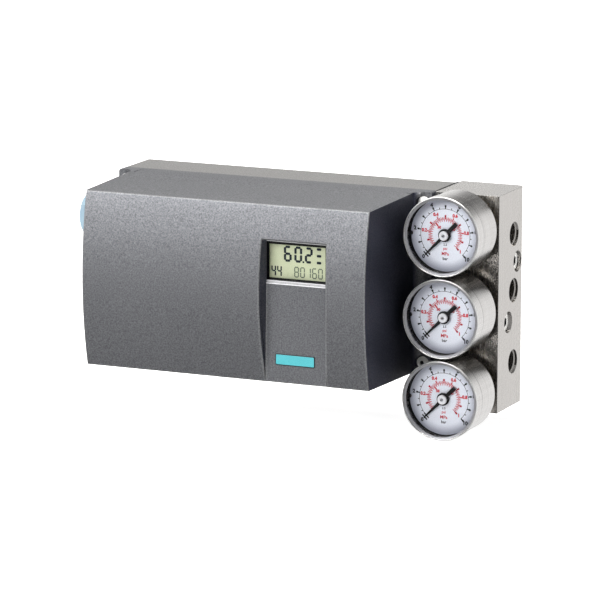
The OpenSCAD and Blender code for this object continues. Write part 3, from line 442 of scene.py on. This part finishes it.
finishes = {
    # The cover paint's last colour is a painted shade for its ends and recess walls
    "cover_shell": flake_paint("anthracite_flake", (0.071, 0.074, 0.081, 1.0), (0.254, 0.258, 0.272, 1.0),
                               0.74, 0.52, (0.022, 0.025, 0.045, 1.0)),
    "base_shell": flake_paint("base_flake", grey(0.150, 0.01), grey(0.300, 0.015), 0.55, 0.52),
    "seal_rubber": moulded_plastic("seal_rubber", (0.018, 0.018, 0.019), 0.72, 1500.0),
    "bright_screw": plated_metal("zinc_screw", (0.88, 0.875, 0.85), 0.48, 0.05, 0.22),
    # The window pane's near-black side colour is a painted shade
    "clear_pane": clear_sheet("window_acrylic", (0.96, 0.97, 0.96, 1.0), (0.006, 0.006, 0.008, 1.0)),
    "lcd": moulded_plastic("display_glass", (0.67, 0.69, 0.495), 0.32, 260.0, 0.000004),
    "black_plastic": moulded_plastic("black_plastic", (0.016, 0.016, 0.018), 0.45),
    "grey_plastic": moulded_plastic("grey_plastic", (0.23, 0.24, 0.25), 0.45),
    "green_board": board_green("board_lacquer"),
    "white_plastic": moulded_plastic("white_plastic", (0.72, 0.72, 0.69), 0.42),
    "plated_plate": plated_metal("zinc_plate", (0.72, 0.71, 0.66), 0.36),
    "brass": plated_metal("turned_brass", (0.74, 0.55, 0.22), 0.3),
    "bronze": sintered_bronze("sintered_bronze"),
    "yellow_plastic": moulded_plastic("yellow_plastic", (0.78, 0.52, 0.04), 0.42),
    "blue_plastic": moulded_plastic("pale_blue_nylon", (0.235, 0.33, 0.40), 0.4),
    "cast_alloy": plated_metal("cast_alloy", (0.58, 0.58, 0.57), 0.45, 0.1),
    "block_steel": ground_steel("ground_steel", 0.58, 0.25),
    "gauge_steel": turned_steel("turned_steel", 0.68, 0.25, CASE_SEAM),
    "gauge_glass": clear_sheet("gauge_glass", (0.985, 0.985, 0.985, 1.0)),
    "dial_white": dial_enamel("dial_enamel", (0.74, 0.77, 0.85, 1.0), (0.40, 0.42, 0.50, 1.0)),
    "pointer_black": moulded_plastic("pointer_lacquer", (0.008, 0.008, 0.009), 0.38),
}
extra = {
    # A lighter copy of the cover paint for its rounded edges: a painted highlight
    "edge_highlight": flake_paint("edge_highlight_flake", (0.13, 0.132, 0.137, 1.0), (0.335, 0.34, 0.35, 1.0), 0.74, 0.53),
    "rim_satin": plated_metal("rim_satin", (0.86, 0.86, 0.85), 0.34, 0.06, 0.85),
    # A darker grey for the rim's inner slope, the same steel as its bead: a painted shade
    "rim_slope_shade": plated_metal("rim_slope_shade", (0.25, 0.25, 0.265), 0.4, 0.08, 0.4),
    "block_edge": plated_metal("block_edge", (0.40, 0.395, 0.385), 0.62, 0.05, 0.8),
    "gap_black": moulded_plastic("gap_black", (0.006, 0.006, 0.007), 0.85, 1500.0),
    "black_ink": printed_ink("black_ink", (0.010, 0.010, 0.012)),
    "red_ink": printed_ink("red_ink", (0.58, 0.006, 0.022)),
    "segment_dark": printed_ink("segment_dark", (0.006, 0.013, 0.03), 0.35),
    "segment_faint": printed_ink("segment_faint", (0.16, 0.19, 0.14), 0.4),
    "plate_teal": printed_ink("plate_teal", (0.05, 0.30, 0.335), 0.3),
    "sill_grey": moulded_plastic("sill_grey", (0.17, 0.17, 0.18), 0.3),
    # Light plastic for the lines on the sill and along the window's top: painted highlights
    "trim_highlight": moulded_plastic("trim_highlight", (0.46, 0.46, 0.475), 0.26),
    "hub_satin": moulded_plastic("hub_satin", (0.72, 0.73, 0.76), 0.3, 1800.0, 0.000006),
    "hub_grey": moulded_plastic("hub_grey", (0.30, 0.31, 0.34), 0.35, 1800.0, 0.000006),
}


# Pieces


class Piece:
    """Mesh code for one piece. Sizes are in millimetres in the part's frame."""

    def __init__(self, name):
        self.name = name
        self.bm = bmesh.new()

    def point(self, x, y, z):
        return self.bm.verts.new((x * MM, y * MM, z * MM))

    def closed(self, one, two):
        """Both ends and the sides between two loops of like points."""
        self.bm.faces.new(one)
        self.bm.faces.new(two[::-1])
        count = len(one)
        for k in range(count):
            follow = (k + 1) % count
            self.bm.faces.new((one[k], two[k], two[follow], one[follow]))

    def prism(self, outline, front, back):
        """A flat shape given by x and z, as thick as from front to back along y."""
        near = [self.point(x, front, z) for x, z in outline]
        far = [self.point(x, back, z) for x, z in outline]
        self.closed(near, far)

    def strip(self, outline, left, right):
        """A bar along x with its section given by y and z."""
        one = [self.point(left, y, z) for y, z in outline]
        two = [self.point(right, y, z) for y, z in outline]
        self.closed(one, two)

    def turned(self, section, centre, front, radius=0.0, steps=96):
        """A ring turned about an axis along y. Its section is given from a radius and a front."""
        x, z = centre
        rows = []
        for k in range(steps):
            turn = 2 * math.pi * k / steps
            across, up = math.sin(turn), math.cos(turn)
            outline = [(radius + out, front + back) for out, back in section]
            rows.append([self.point(x + r * across, y, z + r * up) for r, y in outline])
        count = len(section)
        for row, following in zip(rows, rows[1:] + rows[:1]):
            for i in range(count):
                j = (i + 1) % count
                self.bm.faces.new((row[i], row[j], following[j], following[i]))

    def thread(self, at, axis, outer, depth, pitch, turns, steps=40):
        """A screw thread's ridge, wound along an axis from a starting point."""
        axis = Vector(axis).normalized()
        side = axis.orthogonal().normalized()
        other = axis.cross(side)
        inner = outer - depth
        foot = 0.44 * pitch
        crest = 0.1 * pitch
        section = ((outer, -foot), (inner, -crest), (inner, crest), (outer, foot))
        rows = []
        for k in range(int(turns * steps) + 1):
            turn = 2 * math.pi * k / steps
            along = pitch * k / steps
            out = side * math.cos(turn) + other * math.sin(turn)
            rows.append([self.point(*(Vector(at) + out * r + axis * (along + a))) for r, a in section])
        for one, two in zip(rows, rows[1:]):
            for i in range(4):
                self.bm.faces.new((one[i], one[(i + 1) % 4], two[(i + 1) % 4], two[i]))
        self.bm.faces.new(rows[0][::-1])
        self.bm.faces.new(rows[-1])

    def words(self, text, x, z, front, height, bold):
        """Raised print of a number or a unit, centred on x and z."""
        curve = bpy.data.curves.new("print", "FONT")
        curve.body = text
        curve.size = height * 1.4 * MM
        curve.align_x = "CENTER"
        curve.align_y = "CENTER"
        curve.extrude = PRINT_THICK / 2 * MM
        curve.offset = bold * MM
        curve.resolution_u = 3
        writer = bpy.data.objects.new("print", curve)
        mesh = bpy.data.meshes.new_from_object(writer)
        moved = Matrix.Translation((x * MM, (front + PRINT_THICK / 2) * MM, z * MM))
        mesh.transform(moved @ Matrix.Rotation(math.pi / 2, 4, "X"))
        self.bm.from_mesh(mesh)
        bpy.data.objects.remove(writer)
        bpy.data.meshes.remove(mesh)
        bpy.data.curves.remove(curve)

    def make(self, finish, body, smooth=None, round_off=0.0):
        bmesh.ops.recalc_face_normals(self.bm, faces=self.bm.faces)
        mesh = bpy.data.meshes.new(self.name)
        self.bm.to_mesh(mesh)
        self.bm.free()
        mesh.materials.append(finish.material)
        made = bpy.data.objects.new(self.name, mesh)
        bpy.context.scene.collection.objects.link(made)
        if round_off:
            edge = made.modifiers.new("edge", "BEVEL")
            edge.width = round_off * MM
            edge.segments = 2
            edge.limit_method = "ANGLE"
            edge.angle_limit = math.radians(25)
        if smooth:
            mesh.shade_smooth()
            mesh.set_sharp_from_angle(angle=math.radians(smooth))
        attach(made, body)
        return made


def rectangle(left, right, low, high):
    return [(left, low), (right, low), (right, high), (left, high)]


def arc_dir(share):
    """Direction on a dial for a share of its scale, which runs over 270 degrees from lower left."""
    turn = math.radians(-135 + 270 * share)
    return math.sin(turn), math.cos(turn)


def on_dial(centre, share, places):
    """Places given by their way out from a dial's middle and aside from there, as x and z."""
    dx, dz = arc_dir(share)
    x, z = centre
    return [(x + dx * out + dz * aside, z + dz * out - dx * aside) for out, aside in places]


def tick(piece, centre, share, inner, outer, width, front):
    half = width / 2
    corners = ((inner, -half), (outer, -half), (outer, half), (inner, half))
    piece.prism(on_dial(centre, share, corners), front, front + PRINT_THICK)


def scale_arc(piece, centre, radius, width, front):
    shares = [k / ARC_STEPS for k in range(ARC_STEPS + 1)]
    outer = [on_dial(centre, share, [(radius + width / 2, 0.0)])[0] for share in shares]
    inner = [on_dial(centre, share, [(radius - width / 2, 0.0)])[0] for share in reversed(shares)]
    piece.prism(outer + inner, front, front + PRINT_THICK)


def rounded(node, width, chosen, edge=None):
    """A CAD node's own form with its chosen sharp edges rounded, as moulding and deburring leave them."""
    bm = bmesh.new()
    bm.from_mesh(nodes[node].data)
    bmesh.ops.remove_doubles(bm, verts=bm.verts, dist=2e-6)
    bmesh.ops.dissolve_limit(bm, angle_limit=math.radians(0.4), verts=bm.verts, edges=bm.edges)
    sharp = [line for line in bm.edges
             if len(line.link_faces) == 2 and line.calc_face_angle(0.0) > SHARP_ANGLE
             and all(chosen(*(end.co / MM)) for end in line.verts)]
    bmesh.ops.bevel(bm, geom=sharp, offset=width * MM, offset_type="OFFSET", segments=3, profile=0.5,
                    affect="EDGES", clamp_overlap=False, material=1 if edge else 0)
    mesh = bpy.data.meshes.new(node + "_finished")
    bm.to_mesh(mesh)
    bm.free()
    mesh.shade_smooth()
    mesh.set_sharp_from_angle(angle=SMOOTH_ANGLE)
    slot = slot_of[node]
    mesh.materials.append(finishes[slot].material)
    if edge:
        mesh.materials.append(edge.material)
    made = bpy.data.objects.new(node + "_finished", mesh)
    bpy.context.scene.collection.objects.link(made)
    even = made.modifiers.new("even", "WEIGHTED_NORMAL")
    even.keep_sharp = True
    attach(made, nodes[node]["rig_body"])
    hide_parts(node)
    return made


def cover_edges(x, y, z):
    """The cover's foremost edges, and those between its notched ends down to near the seam."""
    return y < -97.0 or (abs(x) < 83.4 and y < -43.5)


def base_edges(x, y, z):
    """The base's outermost edges."""
    return abs(x) > 92.2 or abs(z) > 48.95


def block_edges(x, y, z):
    """The edges of the block's front, rear, top and bottom."""
    return y < -32.9 or y > 1.4 or abs(z + 9.7) > 58.6


def bar(piece, x0, z0, x1, z1, stroke, front):
    """One bar of a figure, with its corners cut off."""
    half = stroke / 2
    cut = half * 0.5
    end = max(x1 - x0, z1 - z0)
    outline = [(0, -cut), (0, cut), (cut, half), (end - cut, half),
               (end, cut), (end, -cut), (end - cut, -half), (cut, -half)]
    if x1 - x0 > z1 - z0:
        outline = [(x0 + along, z0 + aside) for along, aside in outline]
    else:
        outline = [(x0 + aside, z0 + along) for along, aside in outline]
    piece.prism(outline, front - BAR_THICK, front)


def figure(piece, sign, x, z, wide, high, stroke, front):
    """One figure of the display, made of the bars that it lights."""
    gap = stroke * 0.2
    left, right = x + stroke / 2, x + wide - stroke / 2
    low, mid, top = z + stroke / 2, z + high / 2, z + high - stroke / 2
    ends = {"a": (left + gap, top, right - gap, top), "g": (left + gap, mid, right - gap, mid),
            "d": (left + gap, low, right - gap, low), "f": (left, mid + gap, left, top - gap),
            "b": (right, mid + gap, right, top - gap), "e": (left, low + gap, left, mid - gap),
            "c": (right, low + gap, right, mid - gap)}
    for letter in LIT_BARS[sign]:
        bar(piece, *ends[letter], stroke, front)


def display():
    """The display's value, a short count, a faint row of figures, and the black border round them."""
    low, high = (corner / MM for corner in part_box("lcd_glass"))
    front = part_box("lcd_glass")[0].y / MM
    dark = Piece("display_value")
    faint = Piece("display_row")
    # Signs, then the first one's left, the step to the next, the foot, width, height and stroke
    for piece, signs, left, step, foot, wide, tall, stroke in (
            (dark, "602", 31.3, 6.0, 16.75, 4.5, 8.6, 1.3),
            (dark, "=", 49.2, 0.0, 16.75, 4.45, 8.6, 1.35),
            (dark, "44", 24.1, 3.3, 8.35, 2.75, 6.3, 0.8),
            (faint, "80160", 37.2, 3.42, 8.7, 2.8, 5.8, 0.68)):
        for k, sign in enumerate(signs):
            figure(piece, sign, left + step * k, foot, wide, tall, stroke, front)
    dark.prism(rectangle(42.0, 43.0, 16.75, 17.75), front - BAR_THICK, front)
    dark.make(extra["segment_dark"], "positioner")
    faint.make(extra["segment_faint"], "positioner")

    left, right, foot, head = 23.05, 55.2, 7.75, 25.75
    border = Piece("display_border")
    for outline in (rectangle(low.x, high.x, head, high.z), rectangle(low.x, high.x, low.z, foot),
                    rectangle(low.x, left, foot, head), rectangle(right, high.x, foot, head)):
        border.prism(outline, front - 0.2, front)
    border.make(extra["black_ink"], "positioner")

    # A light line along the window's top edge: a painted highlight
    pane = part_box("display_window")[0].y / MM
    line = Piece("window_upper_highlight")
    line.prism(rectangle(23.0, 57.8, 27.9, 28.3), pane - 0.12, pane)
    line.make(extra["trim_highlight"], "positioner", round_off=0.05)


def plate_outline(inset, radius):
    """The plate's outline with rounded corners, so far inside its outer edge."""
    left, right, low, high = 28.7, 51.4, -37.9, -31.8
    points = []
    for x, z, side, level, start in ((right, high, 1, 1, 0), (left, high, -1, 1, 90),
                                     (left, low, -1, -1, 180), (right, low, 1, -1, 270)):
        for k in range(5):
            turn = math.radians(start + 22.5 * k)
            points.append((x - side * (inset + radius) + radius * math.cos(turn),
                           z - level * (inset + radius) + radius * math.sin(turn)))
    return points


def panel_trim():
    """The sill under the window with its painted highlight lines, and the bare plate at the foot of the
    panel.
    """
    sill = Piece("window_sill")
    sill.strip(SILL, SILL_LEFT, SILL_RIGHT)
    sill.make(extra["sill_grey"], "positioner")
    lines = Piece("sill_highlights")
    lines.strip(SILL_LOWER_HIGHLIGHT, SILL_LEFT, SILL_RIGHT)
    lines.strip(SILL_UPPER_HIGHLIGHT, SILL_LEFT, SILL_RIGHT)
    lines.make(extra["trim_highlight"], "positioner")
    rim = Piece("plate_rim")
    rim.prism(plate_outline(0.0, 0.7), -98.0, -97.6)
    rim.make(finishes["black_plastic"], "positioner", round_off=0.1)
    plate = Piece("plate_face")
    plate.prism(plate_outline(0.45, 0.5), -98.12, -97.8)
    plate.make(extra["plate_teal"], "positioner", round_off=0.08)


def black_scale(gauge, centre, front):
    """A dial's outer scale: its arc, marks, numbers and unit, and two bars across its start."""
    x, z = centre
    black = Piece(gauge + "_black_scale")
    scale_arc(black, centre, 13.9, 0.24, front)
    for k in range(21):
        bold = k % 2 == 0
        tick(black, centre, k / 20, 13.8, 15.3 if bold else 14.8, 0.6 if bold else 0.45, front)
        if bold:
            tick(black, centre, k / 20, 14.9, 16.0, 1.0, front)
    for k in range(0, 11, 2):
        dx, dz = arc_dir(k / 10)
        black.words(str(k), x + dx * 17.3, z + dz * 17.3, front, 2.0, 0.16)
    black.words("bar", x, z - 12.6, front, 1.6, 0.05)
    black.words("2.5", x, z - 5.1, front, 1.2, 0.04)
    for radius in (13.9, 15.3):
        tick(black, centre, 0.0, radius - 0.36, radius + 0.36, 3.8, front)
    black.make(extra["black_ink"], "positioner")


def red_scale(gauge, centre, front):
    """A dial's two inner scales, back to back, with their numbers and units."""
    x, z = centre
    red = Piece(gauge + "_red_scale")
    scale_arc(red, centre, 8.6, 0.2, front)
    scale_arc(red, centre, 8.2, 0.2, front)
    for k in range(51):
        major = k % 5 == 0
        tick(red, centre, k / 50, 8.6, 10.4 if major else 9.6, 0.65 if major else 0.36, front)
        if k % 10 == 5 or k == 50:
            tick(red, centre, k / 50, 9.6, 10.7, 1.0, front)
    for k in range(30):
        major = k % 10 == 0
        tick(red, centre, k * 5 / 145, 6.3 if major else 7.2, 8.2, 0.8 if major else 0.38, front)
    for k in range(2, 11, 2):
        dx, dz = arc_dir(k / 10)
        red.words("1" if k == 10 else "0.%d" % k, x + dx * 12.0, z + dz * 11.8, front, 1.7, 0.15)
    for value in (50, 100):
        dx, dz = arc_dir(value / 145)
        red.words(str(value), x + dx * 5.2, z + dz * 5.2, front, 1.4, 0.12)
    red.words("psi", x, z - 7.2, front, 1.5, 0.04)
    red.words("MPa", x, z - 10.0, front, 1.75, 0.05)
    red.make(extra["red_ink"], "positioner")


def gauge_rim(gauge, centre, outside, lip, dial):
    """The dark ring round a dial, and the bead and slope of its case's rim, the slope in a darker grey that
    is a painted shade.
    """
    ring = Piece(gauge + "_dial_ring")
    ring.turned(DIAL_RING, centre, dial, outside - CASE_WALL - RING_FIT)
    ring.make(finishes["black_plastic"], "positioner", smooth=30)
    rim = Piece(gauge + "_rim_bead")
    rim.turned(RIM_BEAD, centre, lip, outside)
    rim.make(extra["rim_satin"], "positioner", smooth=60)
    slope = Piece(gauge + "_rim_slope")
    slope.turned(RIM_SLOPE, centre, lip, outside)
    slope.make(extra["rim_slope_shade"], "positioner", smooth=60)


def gauge_needle(gauge, centre, hub):
    """The needle's wider blade, and the bright cap and boss on its hub, with a black bar across the boss that
    is a painted shade for its slot.
    """
    x, z = centre
    blade = Piece(gauge + "_needle_blade")
    blade.prism(on_dial(centre, 0.0, NEEDLE), hub + 0.95, hub + 1.55)
    blade.make(finishes["pointer_black"], gauge + "_needle", round_off=0.08)
    cap = Piece(gauge + "_hub_cap")
    cap.turned(HUB_CAP, centre, hub, steps=48)
    cap.make(extra["hub_satin"], gauge + "_needle", smooth=30)
    boss = Piece(gauge + "_hub_boss")
    boss.turned(HUB_BOSS, centre, hub, steps=32)
    boss.make(extra["hub_grey"], gauge + "_needle", smooth=30)
    # The slot is a black bar on the boss: a painted shade
    slot = Piece(gauge + "_hub_slot_shade")
    slot.prism([(x + a * 0.8 - b * 0.07, z + a * 0.3 + b * 0.19) for a, b in SQUARE], hub - 1.16, hub - 1.0)
    slot.make(finishes["pointer_black"], gauge + "_needle")


def gauge_face(gauge):
    """All that a gauge shows in front: its print, its rim and its needle."""
    low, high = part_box(gauge + "_gauge_case")
    centre = ((low.x + high.x) / 2 / MM, (low.z + high.z) / 2 / MM)
    outside = (high.x - low.x) / 2 / MM
    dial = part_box(gauge + "_gauge_dial")[0].y / MM
    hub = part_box(gauge + "_gauge_pointer")[0].y / MM
    black_scale(gauge, centre, dial - PRINT_PROUD)
    red_scale(gauge, centre, dial - PRINT_PROUD)
    gauge_rim(gauge, centre, outside, low.y / MM, dial)
    gauge_needle(gauge, centre, hub)


def block_gasket():
    """The thin black gasket between the housing's end and the block, open towards the rear."""
    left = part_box("housing_base")[1].x / MM
    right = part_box("gauge_block")[0].x / MM
    gasket = Piece("block_gasket")
    gasket.strip([(-29.9, -48.9), (-29.9, 48.92), (-0.2, 48.92), (-0.2, 45.0), (-23.0, 45.0),
                  (-23.0, -45.0), (-0.2, -45.0), (-0.2, -48.9)], left + 0.02, right - 0.02)
    for low in (48.7, -49.05):
        high = low + 0.35
        gasket.strip([(-29.7, low), (-29.7, high), (-0.4, high), (-0.4, low)], left - 0.42, right + 0.35)
    gasket.make(extra["gap_black"], "positioner")


def port_threads():
    """Pipe threads in the block's side ports and the finer threads of the rear inserts."""
    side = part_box("gauge_block")[1].x / MM
    ports = Piece("port_threads")
    for z in PORT_HEIGHTS:
        ports.thread((side - 12.4, PORT_DEPTH, z), (1, 0, 0), outer=6.6, depth=0.8, pitch=1.337, turns=8.6)
    ports.make(finishes["block_steel"], "positioner", smooth=30)
    inserts = Piece("insert_threads")
    for x, z in INSERTS:
        inserts.thread((x, -8.2, z), (0, 1, 0), outer=3.02, depth=0.42, pitch=1.0, turns=7.4, steps=28)
    inserts.make(finishes["brass"], "positioner", smooth=30)


def screw_sockets():
    """Painted shade: black walls and floors in the sockets of the block's two screws and the cover's four."""
    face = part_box("block_screws")[1].x / MM
    outer, inner = 2.86, 2.6
    deep = face - 2.98
    ring = [(math.sin(k * math.pi / 3), math.cos(k * math.pi / 3)) for k in range(7)]
    shade_lining = Piece("screw_sockets")
    for y, z in BLOCK_SCREWS:
        for (a, b), (c, d) in zip(ring, ring[1:]):
            shade_lining.strip([(y + a * outer, z + b * outer), (y + c * outer, z + d * outer),
                          (y + c * inner, z + d * inner), (y + a * inner, z + b * inner)], deep, face - 0.12)
        shade_lining.strip([(y + a * inner, z + b * inner) for a, b in ring[:6]], deep, face - 2.8)
    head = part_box("cover_screws")[0].y / MM
    for place in COVER_SCREWS:
        shade_lining.turned(SOCKET_SHADE_DISC, place, head, steps=24)
    shade_lining.make(finishes["black_plastic"], "positioner")


# Studio: a pale floor, a bright backdrop, soft lights and the camera


def soft_light(name, at, target, size, power, colour):
    lamp = bpy.data.lights.new(name, "AREA")
    lamp.shape = "RECTANGLE"
    lamp.size, lamp.size_y = size
    lamp.energy = power
    lamp.color = colour
    stand = bpy.data.objects.new(name, lamp)
    stand.location = at
    stand.rotation_euler = (Vector(target) - Vector(at)).to_track_quat("-Z", "Y").to_euler()
    bpy.context.scene.collection.objects.link(stand)


def pale_floor():
    bm = bmesh.new()
    bmesh.ops.create_grid(bm, x_segments=8, y_segments=8, size=FLOOR_REACH)
    mesh = bpy.data.meshes.new("floor")
    bm.to_mesh(mesh)
    bm.free()
    floor = bpy.data.objects.new("floor", mesh)
    floor.location = (0.0, 0.0, cad_box[0].z - FLOOR_GAP)
    bpy.context.scene.collection.objects.link(floor)
    paper = Finish("pale_paper", Roughness=0.9, Emission_Color=grey(1.0), Emission_Strength=FLOOR_GLOW)
    paper.colour(paper.mix(paper.noise(paper.place(), 30.0), grey(0.86), grey(0.9)))
    mesh.materials.append(paper.material)
    floor.visible_glossy = False


def backdrop():
    """A dark room with a bright wall behind the part and a grey one on its right."""
    world = bpy.data.worlds.new("studio")
    bpy.context.scene.world = world
    world.use_nodes = True
    sky = Nodes(world.node_tree)
    across, back, height = sky.parts(sky.node("ShaderNodeTexCoord", output="Generated"))
    lit = sky.between(back, -0.1, 0.55) * sky.between(height, 0.4, 0.2) * sky.between(height, -0.85, -0.5)
    beside = sky.between(across, 0.6, 0.9) * sky.between(height, 0.75, 0.45)
    behind = world.node_tree.nodes["Background"].inputs
    sky.feed(behind["Color"], sky.mix(beside, sky.mix(lit, grey(0.065), grey(1.06)), grey(0.7)))
    sky.feed(behind["Strength"], 1.0)


def photograph_camera():
    camera = bpy.data.cameras.new("camera")
    camera.lens = CAMERA_LENS
    camera.sensor_width = SENSOR
    camera.clip_end = 50.0
    eye = bpy.data.objects.new("camera", camera)
    look = CAMERA_LOOK.to_track_quat("-Z", "Y").to_matrix().to_4x4()
    eye.matrix_world = Matrix.Translation(CAMERA_AT) @ look @ Matrix.Rotation(CAMERA_ROLL, 4, "Z")
    bpy.context.scene.collection.objects.link(eye)
    bpy.context.scene.camera = eye


# Every node of the CAD model takes the finish of its slot
for name, node in nodes.items():
    for holder in node.material_slots:
        holder.material = finishes[slot_of[name]].material

display()
panel_trim()
screw_sockets()
for gauge in GAUGES:
    gauge_face(gauge)
port_threads()
block_gasket()
# The cover's rounded edges take the painted highlight
rounded("front_cover", 0.7, cover_edges, extra["edge_highlight"])
rounded("housing_base", 0.4, base_edges)
rounded("gauge_block", 0.18, block_edges, extra["block_edge"])

pale_floor()
backdrop()
for name, settings in LIGHTS.items():
    soft_light(name, *settings)
photograph_camera()
bpy.context.scene.view_settings.view_transform = "Standard"
